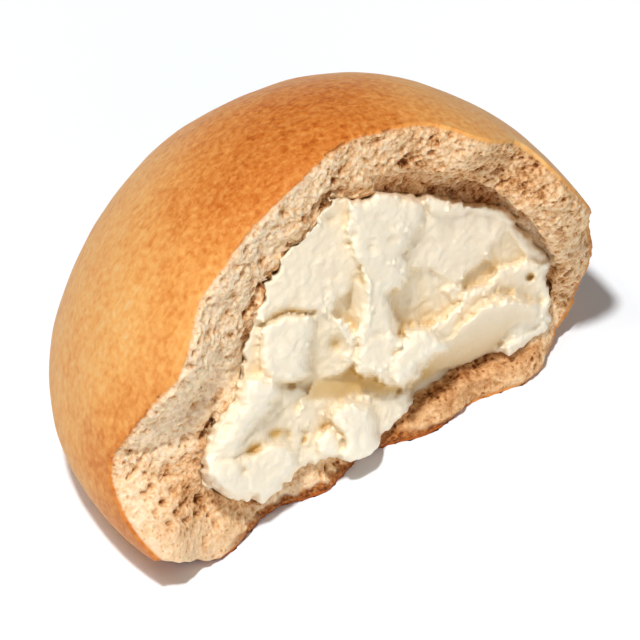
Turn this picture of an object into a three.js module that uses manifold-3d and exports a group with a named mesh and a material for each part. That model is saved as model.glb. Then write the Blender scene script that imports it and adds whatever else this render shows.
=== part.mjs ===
// One half of a round filled bread roll, torn open by hand: a bagel-dough bun with a thick cream cheese centre.
// Millimetres, +Z up. The half stands on its baked base, and the torn face looks along -Y.
import * as THREE from 'three';
import { mergeVertices } from 'three/addons/utils/BufferGeometryUtils.js';
import Module from 'manifold-3d';

const wasm = await Module();
wasm.setup();

// The whole bun, before it was torn.
const bunRadius = 30;
const bunHeight = 42.3;
const waistHeight = 10.6; // where the bun is widest
const baseRadius = 19.8; // the flat patch that it was baked and rests on
const domePower = 1.6; // 2 would be an ellipse, and less is a more pointed crown
const bunSegments = 60;
const lowerArcSteps = 5;
const domeSteps = 14;

// The tear. The half keeps what lies behind the surface y = tear(x, z).
const tearDepth = -0.6; // the tear runs this far in front of the bun's own middle
const tearGrid = 1.65; // spacing of the points on the torn face
const crustWaves = [{ reach: 0.5, turns: 9, shift: 0.4 }, { reach: 0.3, turns: 17, shift: 2 }];
const wavyRim = { middle: 12, from: 17, to: 27 }; // the torn edge waves more and more out towards the crust
// The bottom layer is left longer than the rest, in waves; crest is where one of them reaches furthest.
const baseLip = { reach: 2.6, height: 6.5, wave: 0.8, wavelength: 12.5, crest: -6 };

// Where the torn face stands forward (reach under 0) or falls back, as soft round swellings.
const tearSwells = [
  { name: 'rightEnd', x: 23, z: 26, reach: -6.2, width: 7.5, height: 10 },
  { name: 'rightShoulder', x: 15, z: 38, reach: -2.8, width: 7, height: 6 },
  { name: 'lowRightEnd', x: 27, z: 13, reach: -2.6, width: 6, height: 8 },
  { name: 'leftToe', x: -27, z: 4, reach: -4.6, width: 6, height: 5 },
  { name: 'leftCheek', x: -23.5, z: 25, reach: -1.6, width: 4, height: 5 },
  { name: 'leftDimple', x: -30, z: 15, reach: 2.6, width: 4, height: 5 },
  { name: 'crownDip', x: -5, z: 42, reach: 1.3, width: 5, height: 6 },
  { name: 'leftShoulder', x: -19, z: 19, reach: 0.9, width: 4, height: 5 },
];

// The edge of the cream cheese on the torn side, clockwise from its top, as seen from the front.
// mouth is the space that the bread leaves round it there.
const fillingEdge = [
  { x: -2, z: 36, mouth: 2.4 },
  { x: 6.2, z: 31.4, mouth: 4 },
  { x: 14.2, z: 25, mouth: 4.4 },
  { x: 20.6, z: 18.8, mouth: 3 },
  { x: 24.4, z: 11.4, mouth: 0.8 },
  { x: 24.4, z: 5.4, mouth: 0.5 },
  { x: 18, z: 3, mouth: 0.4 },
  { x: 6, z: 3.2, mouth: 0.4 },
  { x: -4, z: 4, mouth: 0.4 },
  { x: -13, z: 5.2, mouth: 0.5 },
  { x: -19, z: 9.4, mouth: 0.6 },
  { x: -19.4, z: 15.4, mouth: 0.5 },
  { x: -15.2, z: 20.8, mouth: 0.4 },
  { x: -13, z: 27, mouth: 0.5 },
  { x: -8.8, z: 32.4, mouth: 0.9 },
];
const fillingMiddle = { x: 2, z: 18 };
const fillingGap = 0.3; // what the filling leaves free to the bread all round

// The filling and the mouth of the bread are pillows inside that edge. rim is the depth of the widest line, front
// and back are how far the pillow bulges from it, and a power under 1 gives it fuller sides than a ball has.
const core = { rim: -1, front: 7, back: 16, power: 0.5, segments: 44, rings: 18 };
const mouth = { rim: -1.5, front: 7, back: 3.4, power: 0.5, segments: 48, rings: 16 };

// The torn side of the cream cheese: a rough level at y = deepest with slabs and lumps that stand out of it to
// y = front. Each has its middle, its half width and half height, its turn anticlockwise as seen from the front
// in degrees, and how steep its side is.
const cheeseFace = { deepest: 2.2, grid: 1.15, blend: 0.4 };
const cheeseLumps = [
  { name: 'crownSlab', x: -4.4, z: 29.6, wide: 9.4, high: 5, turn: 37, front: -0.9, steep: 5 },
  { name: 'crownRidge', x: 8.4, z: 28, wide: 12, high: 2.8, turn: -38, front: -0.8, steep: 5 },
  { name: 'column', x: 2.4, z: 20.6, wide: 3, high: 12, turn: 10, front: -2, steep: 4 },
  { name: 'columnFoot', x: 6, z: 11.8, wide: 4.6, high: 2.8, turn: -16, front: -2.7, steep: 3 },
  { name: 'leftLump', x: -8.8, z: 19.6, wide: 3.8, high: 5.2, turn: -12, front: -1, steep: 5 },
  { name: 'rightPlate', x: 14, z: 20.6, wide: 7.6, high: 4.6, turn: -38, front: -0.6, steep: 6 },
  { name: 'rightShelf', x: 12, z: 16.4, wide: 6.6, high: 2.6, turn: -8, front: 0.2, steep: 3 },
  { name: 'ledge', x: 14.6, z: 12.8, wide: 10.2, high: 2.6, turn: 14, front: -3, steep: 4 },
  { name: 'rightSlope', x: 13.4, z: 5, wide: 13, high: 3.6, turn: 3, front: -1.5, steep: 4 },
  { name: 'leftFlank', x: -16.8, z: 13.6, wide: 3.4, high: 6, turn: 22, front: -2.8, steep: 4 },
  { name: 'leftShelf', x: -12.8, z: 17, wide: 5.2, high: 2.8, turn: 14, front: -1.8, steep: 4 },
  { name: 'lowBand', x: -5, z: 8.2, wide: 10, high: 3.6, turn: -10, front: -2.3, steep: 4 },
];

// The lumps along its lower edge that hang over the bottom layer: ellipsoids with their middles and radii.
const toes = [
  { name: 'leftToe', at: [-12.8, -0.2, 7.9], radii: [5.6, 4.2, 4] },
  { name: 'middleToe', at: [-1, -1.2, 6.6], radii: [3.6, 3.8, 4] },
  { name: 'rightToe', at: [20.8, 0.2, 5.8], radii: [3.8, 3.6, 3] },
];
const toeSegments = 16;
const toeRings = 10;

const radians = THREE.MathUtils.degToRad;
const { smoothstep } = THREE.MathUtils;

// A closed three.js geometry as a solid that can be joined and cut.
function solidOf(geometry) {
  const bare = geometry.clone();
  bare.deleteAttribute('normal');
  bare.deleteAttribute('uv');
  const merged = mergeVertices(bare, 1e-4);
  return new wasm.Manifold(new wasm.Mesh({
    numProp: 3,
    vertProperties: merged.attributes.position.array,
    triVerts: new Uint32Array(merged.index.array),
  }));
}

// A joined or cut solid as a three.js geometry.
function geometryOf(solid) {
  const { vertProperties, triVerts } = solid.getMesh();
  const geometry = new THREE.BufferGeometry();
  geometry.setAttribute('position', new THREE.BufferAttribute(vertProperties, 3));
  geometry.setIndex(new THREE.BufferAttribute(triVerts, 1));
  geometry.computeVertexNormals();
  return geometry;
}

// Moves every point of a geometry by a function that changes the vector it is given.
function reshape(geometry, change) {
  const position = geometry.attributes.position;
  const point = new THREE.Vector3();
  for (let i = 0; i < position.count; i++) {
    point.fromBufferAttribute(position, i);
    change(point);
    position.setXYZ(i, point.x, point.y, point.z);
  }
  return geometry;
}

// Loose shavings that a cut leaves between two lumps aren't part of the piece.
function withoutShavings(solid) {
  return solid.decompose().reduce((a, b) => (a.volume() > b.volume() ? a : b));
}

// The whole bun: a flat base, a quarter-ellipse up to the waist, and the domed crown.
function wholeBun() {
  const profile = [new THREE.Vector2(0, 0)];
  for (let i = 0; i <= lowerArcSteps; i++) {
    const angle = (Math.PI / 2) * (i / lowerArcSteps);
    profile.push(new THREE.Vector2(
      baseRadius + (bunRadius - baseRadius) * Math.sin(angle),
      waistHeight * (1 - Math.cos(angle)),
    ));
  }
  for (let i = 1; i <= domeSteps; i++) {
    const rise = Math.sin((Math.PI / 2) * (i / domeSteps));
    const radius = i === domeSteps ? 0 : bunRadius * Math.sqrt(1 - rise ** domePower);
    profile.push(new THREE.Vector2(radius, waistHeight + (bunHeight - waistHeight) * rise));
  }
  return solidOf(new THREE.LatheGeometry(profile, bunSegments).rotateX(Math.PI / 2));
}

// How far back the torn face lies at one place of it.
function tear(x, z) {
  const angle = Math.atan2(x, z - wavyRim.middle);
  const rim = smoothstep(Math.hypot(x, z - wavyRim.middle), wavyRim.from, wavyRim.to);
  const lipWave = Math.cos((2 * Math.PI * (x - baseLip.crest)) / baseLip.wavelength);
  let y = tearDepth - (baseLip.reach + baseLip.wave * lipWave) * Math.max(0, 1 - z / baseLip.height);
  for (const wave of crustWaves) y += rim * wave.reach * Math.sin(wave.turns * angle + wave.shift);
  for (const swell of tearSwells) {
    const across = (x - swell.x) / swell.width;
    const up = (z - swell.z) / swell.height;
    y += swell.reach * Math.exp(-(across ** 2) - up ** 2);
  }
  return y;
}

// How far back the torn side of the cream cheese lies at one place of it. Its lumps melt into one another.
function cheeseFront(x, z) {
  const { deepest, blend } = cheeseFace;
  let sum = 1;
  for (const { x: middleX, z: middleZ, wide, high, turn, front, steep } of cheeseLumps) {
    const [cos, sin] = [Math.cos(radians(turn)), Math.sin(radians(turn))];
    const along = ((x - middleX) * cos + (z - middleZ) * sin) / wide;
    const across = ((z - middleZ) * cos - (x - middleX) * sin) / high;
    const rise = (deepest - front) / (1 + Math.hypot(along, across) ** steep);
    sum += Math.exp(rise / blend) - 1;
  }
  return deepest - blend * Math.log(sum);
}

// A block whose front follows y = front(x, z) and that is larger than the bun on all its other sides.
function blockBehind(front, grid) {
  const margin = 4;
  const width = 2 * (bunRadius + margin);
  const height = bunHeight + 2 * margin;
  const depth = bunRadius + margin;
  const block = new THREE.BoxGeometry(width, depth, height, Math.round(width / grid), 1, Math.round(height / grid));
  block.translate(0, depth / 2, bunHeight / 2);
  return solidOf(reshape(block, (point) => {
    if (point.y < depth / 2) point.y = front(point.x, point.z);
  }));
}

// The filling's edge as a smooth closed curve, from its middle; room says how much is added at each point.
function edgeCurve(room) {
  return new THREE.CatmullRomCurve3(fillingEdge.map((corner) => {
    const arm = new THREE.Vector3(corner.x - fillingMiddle.x, 0, corner.z - fillingMiddle.z);
    return arm.setLength(arm.length() + room(corner));
  }), true);
}

// A pillow inside that curve: its widest line lies at depth rim, and it bulges to the front and to the back of it.
function pillow({ rim, front, back, power, segments, rings }, room) {
  const outline = edgeCurve(room);
  const ball = new THREE.SphereGeometry(1, segments, rings);
  reshape(ball, (point) => {
    const turn = (Math.atan2(point.x, point.z) / (2 * Math.PI) + 1) % 1;
    const across = Math.min(1, Math.hypot(point.x, point.z)) ** power;
    const arm = outline.getPoint(turn).multiplyScalar(across);
    const depth = point.y * (point.y < 0 ? front : back);
    point.set(fillingMiddle.x + arm.x, rim + depth, fillingMiddle.z + arm.z);
  });
  return solidOf(ball);
}

// One toe, larger all round by grow.
function toeSolid({ at, radii }, grow) {
  const ball = new THREE.SphereGeometry(1, toeSegments, toeRings).rotateX(Math.PI / 2);
  ball.scale(...radii.map((radius) => radius + grow));
  ball.translate(...at);
  return solidOf(ball);
}

function withToes(solid, grow) {
  return toes.reduce((all, toe) => all.add(toeSolid(toe, grow)), solid);
}

function creamCheese() {
  const body = pillow(core, () => 0).intersect(blockBehind(cheeseFront, cheeseFace.grid));
  return withoutShavings(withToes(body, 0));
}

// The room that the bread leaves for the cream cheese and the gap round it.
function bed() {
  const { rim, front, back, ...shape } = core;
  const room = { rim, front: front + fillingGap, back: back + fillingGap, ...shape };
  return withToes(pillow(room, () => fillingGap), fillingGap);
}

function bread() {
  return withoutShavings(wholeBun()
    .intersect(blockBehind(tear, tearGrid))
    .subtract(pillow(mouth, (corner) => corner.mouth))
    .subtract(bed()));
}

const breadMaterial = new THREE.MeshStandardMaterial({ color: 0xe0964f, roughness: 0.6, metalness: 0 });
const fillingMaterial = new THREE.MeshStandardMaterial({ color: 0xf4ead0, roughness: 0.5, metalness: 0 });

const breadMesh = new THREE.Mesh(geometryOf(bread()), breadMaterial);
breadMesh.name = 'bread';
const fillingMesh = new THREE.Mesh(geometryOf(creamCheese()), fillingMaterial);
fillingMesh.name = 'cream_cheese';

// The origin is at the middle of the half's footprint, on the surface it stands on.
const half = new THREE.Group();
half.add(breadMesh, fillingMesh);
const box = new THREE.Box3().setFromObject(half, true);
const middle = box.getCenter(new THREE.Vector3());
half.position.set(-middle.x, -middle.y, -box.min.z);

export default half;
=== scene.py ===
# Half of a small ball-shaped bagel, torn open round its cream cheese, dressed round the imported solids.
import math

import bmesh
import bpy
import numpy as np
from mathutils import Matrix, Vector, noise
from mathutils.bvhtree import BVHTree
from mathutils.kdtree import KDTree


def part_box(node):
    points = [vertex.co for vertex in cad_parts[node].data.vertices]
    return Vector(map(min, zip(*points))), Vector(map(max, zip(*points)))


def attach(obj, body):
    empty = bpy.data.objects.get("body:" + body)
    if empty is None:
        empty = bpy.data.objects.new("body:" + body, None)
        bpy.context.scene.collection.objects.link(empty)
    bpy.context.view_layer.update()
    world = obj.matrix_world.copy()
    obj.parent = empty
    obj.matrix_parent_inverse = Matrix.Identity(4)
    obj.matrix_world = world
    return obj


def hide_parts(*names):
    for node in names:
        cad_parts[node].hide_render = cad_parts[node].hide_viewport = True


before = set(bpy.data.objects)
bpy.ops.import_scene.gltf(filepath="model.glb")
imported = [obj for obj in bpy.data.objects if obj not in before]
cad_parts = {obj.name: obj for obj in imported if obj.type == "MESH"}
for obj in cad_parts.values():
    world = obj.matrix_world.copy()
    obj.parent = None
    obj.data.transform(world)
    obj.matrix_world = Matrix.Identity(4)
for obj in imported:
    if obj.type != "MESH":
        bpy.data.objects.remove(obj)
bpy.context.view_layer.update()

scene = bpy.context.scene
scene.view_settings.view_transform = "Standard"

# Shapes are worked in millimetres from the whole bun's axis: x to the right along the tear, y away from the
# torn face, z up. The whole bun repeats the solid's own sizes.
bun = {"radius": 30.0, "height": 42.3, "waist": 10.6, "base": 19.8, "power": 1.6}
mm = 0.001
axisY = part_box("bread")[1].y - bun["radius"] * mm
workToFrame = Matrix.Translation((0, axisY, 0)) @ Matrix.Scale(mm, 4)


def smoothStep(value, start, end):
    t = np.clip((value - start) / (end - start), 0, 1)
    return t * t * (3 - 2 * t)


# The camera aims at a point given across, up and towards itself. width is how much the frame takes in there.
eye = {
    "azimuth": -40, "elevation": 45, "lens": 600, "sensor": 36,
    "across": -2.79, "up": 12.49, "towards": 12, "width": 63.9,
}
turn, rise = math.radians(eye["azimuth"]), math.radians(eye["elevation"])
boardOut = Vector((math.sin(turn) * math.cos(rise), -math.cos(turn) * math.cos(rise), math.sin(rise)))
boardRight = Vector((math.cos(turn), math.sin(turn), 0))
boardUp = boardOut.cross(boardRight)

cameraData = bpy.data.cameras.new("camera")
cameraData.lens, cameraData.sensor_width = eye["lens"], eye["sensor"]
camera = bpy.data.objects.new("camera", cameraData)
scene.collection.objects.link(camera)
aim = boardRight * eye["across"] + boardUp * eye["up"] + boardOut * eye["towards"]
distance = eye["width"] * eye["lens"] / eye["sensor"]
camera.location = workToFrame @ (aim + boardOut * distance)
camera.rotation_mode = "QUATERNION"
camera.rotation_quaternion = (-boardOut).to_track_quat("-Z", "Y")
scene.camera = camera

# White discs that face the bagel, in metres and watts.
lights = {
    "key": {"at": (-0.4, 0.05, 0.9), "size": 0.25, "watts": 1.5},
    "top": {"at": (-0.33, -0.2, 1.0), "size": 0.08, "watts": 9.7},  # small, so it draws the crisp shadows
    "fill": {"at": (-0.3, -0.9, 0.45), "size": 0.8, "watts": 2.2},
}
for name, light in lights.items():
    lamp = bpy.data.lights.new(name, "AREA")
    lamp.shape, lamp.size = "DISK", light["size"]
    lamp.energy = light["watts"]
    holder = bpy.data.objects.new(name, lamp)
    holder.location = light["at"]
    holder.rotation_mode = "QUATERNION"
    holder.rotation_quaternion = (-Vector(light["at"])).to_track_quat("-Z", "Y")
    scene.collection.objects.link(holder)

world = bpy.data.worlds.new("studio")
world.use_nodes = True
world.node_tree.nodes["Background"].inputs["Color"].default_value = (1, 1, 1, 1)
world.node_tree.nodes["Background"].inputs["Strength"].default_value = 0.13  # soft light from all round
scene.world = world


def linear(hexColour, alpha=1.0):
    channels = [int(hexColour[i:i + 2], 16) / 255 for i in (1, 3, 5)]
    return [c / 12.92 if c <= 0.04045 else ((c + 0.055) / 1.055) ** 2.4 for c in channels] + [alpha]


# Adds one node. inputs holds values or the sockets that feed it, stops the colours of a ramp.
def addNode(tree, kind, inputs=None, stops=None, **settings):
    made = tree.nodes.new(kind)
    for key, value in settings.items():
        setattr(made, key, value)
    if stops:
        ramp = made.color_ramp.elements
        while len(ramp) < len(stops):
            ramp.new(0.5)
        for element, (position, colour) in zip(ramp, stops):
            element.position, element.color = position, linear(colour)
    for key, value in (inputs or {}).items():
        if isinstance(value, bpy.types.NodeSocket):
            tree.links.new(value, made.inputs[key])
        else:
            made.inputs[key].default_value = value
    return made


def newMaterial(name):
    material = bpy.data.materials.new(name)
    material.use_nodes = True
    tree = material.node_tree
    tree.nodes.clear()
    shader = addNode(tree, "ShaderNodeBsdfPrincipled")
    addNode(tree, "ShaderNodeOutputMaterial", {"Surface": shader.outputs[0]})
    return material, tree, shader


floorMaterial, _, floorShader = newMaterial("matte white paper")
floorShader.inputs["Base Color"].default_value = linear("#f7fbff")
floorShader.inputs["Roughness"].default_value = 0.9
bpy.ops.mesh.primitive_plane_add(size=3, location=(0, 0, -0.05 * mm))
floor = bpy.context.object
floor.name = "floor"
floor.data.materials.append(floorMaterial)
print("camera, lights and floor are in place")


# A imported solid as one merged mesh, in working millimetres.
def workCopy(node):
    bm = bmesh.new()
    bm.from_mesh(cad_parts[node].data)
    bmesh.ops.transform(bm, matrix=workToFrame.inverted(), verts=bm.verts)
    bmesh.ops.remove_doubles(bm, verts=bm.verts, dist=0.001)
    return bm


def asMesh(bm, name):
    mesh = bpy.data.meshes.new(name)
    bm.to_mesh(mesh)
    bm.free()
    return mesh


def remeshed(mesh, voxel):
    holder = bpy.data.objects.new("remesh", mesh)
    scene.collection.objects.link(holder)
    voxels = holder.modifiers.new("voxels", "REMESH")
    voxels.mode, voxels.voxel_size, voxels.use_smooth_shade = "VOXEL", voxel, True
    made = bpy.data.meshes.new_from_object(holder.evaluated_get(bpy.context.evaluated_depsgraph_get()))
    bpy.data.objects.remove(holder)
    bpy.data.meshes.remove(mesh)
    return made


# Leaves fewer faces where hidden is true; share is how many of them stay.
def thinned(mesh, hidden, share):
    holder = bpy.data.objects.new("thin", mesh)
    scene.collection.objects.link(holder)
    holder.vertex_groups.clear()
    group = holder.vertex_groups.new(name="hidden")
    group.add(np.flatnonzero(hidden).tolist(), 1.0, "REPLACE")
    thin = holder.modifiers.new("thin", "DECIMATE")
    thin.ratio, thin.vertex_group, thin.vertex_group_factor = 1 - hidden.mean() * (1 - share), "hidden", 1000
    made = bpy.data.meshes.new_from_object(holder.evaluated_get(bpy.context.evaluated_depsgraph_get()))
    bpy.data.objects.remove(holder)
    bpy.data.meshes.remove(mesh)
    return made


# Thinning can leave a few edges with more or fewer than two faces, and slivers of two faces back to back. All
# those faces go, and the holes are filled.
def closed(mesh):
    bm = bmesh.new()
    bm.from_mesh(mesh)
    for _ in range(3):
        slivers = [face for face in bm.faces
                   if len({other for edge in face.edges for other in edge.link_faces}) == 2]
        bmesh.ops.delete(bm, geom=slivers, context="FACES")
        crossed = [face for face in bm.faces if any(len(edge.link_faces) > 2 for edge in face.edges)]
        bmesh.ops.delete(bm, geom=crossed, context="FACES")
        bmesh.ops.delete(bm, geom=[edge for edge in bm.edges if edge.is_wire], context="EDGES")
        gaps = [edge for edge in bm.edges if edge.is_boundary]
        filled = bmesh.ops.holes_fill(bm, edges=gaps, sides=0)["faces"]
        bmesh.ops.triangulate(bm, faces=filled)
    bmesh.ops.delete(bm, geom=[vertex for vertex in bm.verts if not vertex.link_faces], context="VERTS")
    bmesh.ops.recalc_face_normals(bm, faces=bm.faces)
    bm.to_mesh(mesh)
    bm.free()
    return mesh


def points(mesh):
    flat = np.empty(len(mesh.vertices) * 3)
    mesh.vertices.foreach_get("co", flat)
    return flat.reshape(-1, 3)


def setPoints(mesh, places):
    mesh.vertices.foreach_set("co", np.ascontiguousarray(places).ravel())
    mesh.update()


def normals(mesh):
    flat = np.empty(len(mesh.vertices) * 3)
    mesh.vertex_normals.foreach_get("vector", flat)
    return flat.reshape(-1, 3)


def setAttribute(mesh, name, values):
    attribute = mesh.attributes.new(name, "FLOAT", "POINT")
    attribute.data.foreach_set("value", np.asarray(values, np.float32))


# Noise between about -1 and 1, with bumps size across; shift picks another part of the same noise.
def bumps(places, size, shift=0.0, basis="PERLIN_ORIGINAL"):
    scaled = (places / size + shift).tolist()
    return np.fromiter((noise.noise(p, noise_basis=basis) for p in scaled), float, len(scaled))


# Round hollows of mixed sizes, scattered about size apart: 0 between them and up to 1 in the middle of a
# large one. share is how many of them are open.
def hollows(places, size, shift=0.0, share=1.0):
    made = []
    for p in (places / size + shift).tolist():
        near, middles = noise.voronoi(p)
        lot = math.sin(middles[0].dot((12.9898, 78.233, 37.719))) * 43758.5
        lot -= math.floor(lot)
        wide = 0.22 + 0.5 * lot
        isOpen = near[0] < wide and lot < share
        made.append(wide * 1.4 * math.sqrt(1 - (near[0] / wide) ** 2) if isOpen else 0.0)
    return np.array(made)


def distanceTo(tree, places):
    return np.array([tree.find_nearest(p, 30)[3] for p in places.tolist()])


# The board leans back square to the camera's line of sight: u goes right on it, v up. Outlines that are
# traced on it keep their place in the camera's view, however far back, y, the surface lies.
def ontoBoard(places):
    return places @ np.array(boardRight), places @ np.array(boardUp)


def offBoard(u, v, y):
    x = (u - boardRight.y * y) / boardRight.x
    z = (v - boardUp.x * x - boardUp.y * y) / boardUp.z
    return np.stack([x, y, z], -1)


# Distance from a line of points.
def lineDistance(u, v, line):
    nearest = np.full(u.shape, 1e9)
    for (u0, v0), (u1, v1) in zip(line, line[1:]):
        du, dv = u1 - u0, v1 - v0
        t = np.clip(((u - u0) * du + (v - v0) * dv) / (du * du + dv * dv), 0, 1)
        nearest = np.minimum(nearest, np.hypot(u - u0 - t * du, v - v0 - t * dv))
    return nearest


# Distance from an outline, below zero inside it.
def outlineDistance(u, v, outline):
    ring = outline + outline[:1]
    inside = np.zeros(u.shape, bool)
    for (u0, v0), (u1, v1) in zip(ring, ring[1:]):
        if v0 != v1:
            inside ^= ((v0 > v) != (v1 > v)) & (u < (u1 - u0) * (v - v0) / (v1 - v0) + u0)
    nearest = lineDistance(u, v, ring)
    return np.where(inside, -nearest, nearest)


# 1 along a line or at a spot, and soon 0 beyond its width or radius.
def nearLine(u, v, line, width, wander=0.0):
    return np.exp(-((lineDistance(u, v, line) + wander) / width) ** 2)


def nearSpot(u, v, spotU, spotV, radius):
    return np.exp(-((u - spotU) ** 2 + (v - spotV) ** 2) / (radius * radius) * 1.4)


# How far under the whole bun's skin a point lies, and the direction straight out of the skin there.
def underSkin(places):
    x, y, z = places.T
    around = np.hypot(x, y)
    rising = np.maximum(z - bun["waist"], 0) / (bun["height"] - bun["waist"])
    wide = around / bun["radius"]
    dome = 1 - wide ** 2 - rising ** bun["power"]
    domeOut = 2 * wide / bun["radius"]
    domeUp = bun["power"] * rising ** (bun["power"] - 1) / (bun["height"] - bun["waist"])
    bulge = bun["radius"] - bun["base"]
    lowOut = np.maximum(around - bun["base"], 0) / bulge
    lowUp = np.minimum(z - bun["waist"], 0) / bun["waist"]
    belly = 1 - lowOut ** 2 - lowUp ** 2
    above = z > bun["waist"]
    value = np.where(above, dome, belly)
    out = np.where(above, domeOut, 2 * lowOut / bulge)
    up = np.where(above, domeUp, 2 * lowUp / bun["waist"])
    steep = np.maximum(np.hypot(out, up), 1e-6)
    depth = value / steep
    inward = (~above) & (around < bun["base"])
    depth = np.where(inward, z, depth)
    ring = np.maximum(around, 1e-6)
    outward = np.stack([x / ring * out / steep, y / ring * out / steep, up / steep], -1)
    outward[inward] = (0, 0, -1)
    return depth, outward


def finishPiece(mesh, name, material):
    mesh.transform(workToFrame)
    mesh.update()
    mesh.shade_smooth()
    mesh.materials.clear()
    mesh.materials.append(material)
    piece = bpy.data.objects.new(name, mesh)
    scene.collection.objects.link(piece)
    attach(piece, "root")
    return piece


# The filling's torn side is built like a relief of broken flakes. Each flake has its outline on the board,
# its level y at the outline's middle, how y changes to the right and upwards, how steeply its sides fall
# back, and how much it swells. The nearest flake shows. A flake's shade value says how much darker and
# yellower its colour is painted, as painted shade in hollows. What isn't given is 0, and jag is 1.
cheese = {
    "voxel": 0.16, "step": 0.15, "toneStep": 0.25, "vertices": 96500, "rearShare": 0.06, "wallShare": 0.15,
    "deepest": -0.9, "back": 4.5, "behind": 3.2, "wallFrom": 0.8, "wallTo": 3, "lowest": 2.5,
    "core": (2, 0, 18), "taper": 0.9,  # where the walls draw in to, and how far
    "edgeFall": 6.0, "margin": 0.9, "reach": 0.35, "undercut": 0.85, "tuckAt": -0.7, "tuck": 2.2,
    "cover": 1.6,  # the least depth under the crust, behind the tear
    "steep": 1.9, "round": 0.8, "facet": 1.9, "tilt": 0.17, "jag": 0.34, "melt": 0.1, "grain": (0.06, 0.035),
    "curds": 300, "curdSizes": (0.1, 0.36), "curdSpread": 0.25, "beads": [(20.1, 14.5, 0.42)],
    "outline": [
        (-1.3, 24.2), (0.2, 24.2), (1.8, 24.0), (3, 25), (4.8, 25), (6, 24.6), (8, 24.5), (10, 24.3),
        (12, 23.9), (14.2, 23.7), (15.8, 23.3), (16.4, 22.4), (17.0, 21.6), (18.2, 20.4), (19.2, 19.4),
        (19.9, 18.8), (20.5, 18.3), (20.1, 17.2), (19.9, 16.0), (20.2, 15), (20.5, 14.6), (20.1, 14),
        (20.2, 12.5), (19.8, 11.6), (18.6, 10.6), (17.4, 9.8), (16.4, 9.3), (15.8, 9.7), (14.8, 9.4),
        (13, 8.6), (11.6, 7.9), (10, 7.3), (8.4, 6.2), (7, 5), (6.3, 4.1), (6, 3), (5.1, 2.6), (4, 1.2),
        (3.3, 0.8), (3.1, 0), (2.6, -0.9), (1.4, -1.5), (0, -1.6), (-1.4, -1.1), (-2.8, -1.1), (-3.6, -1.6),
        (-4.9, -2), (-5.6, -2.9), (-7, -4.2), (-8.4, -5.5), (-9, -5.1), (-10.7, -5.1), (-11.9, -4.9),
        (-12.6, -4.5), (-13.2, -3.9), (-13.9, -2.8), (-14.2, -1.9), (-14.4, -0.2), (-14.1, 0.6), (-13.4, 2),
        (-12.6, 3.4), (-11.4, 4.6), (-10.8, 6), (-10.4, 7.8), (-10.2, 9.2), (-9.7, 11), (-9.4, 12),
        (-9, 13.4), (-8, 15.2), (-7.4, 16.8), (-6.2, 18.8), (-5.2, 19.8), (-4.2, 20.8), (-3.2, 22),
        (-2.4, 23), (-1.8, 23.7),
    ],
}
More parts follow.
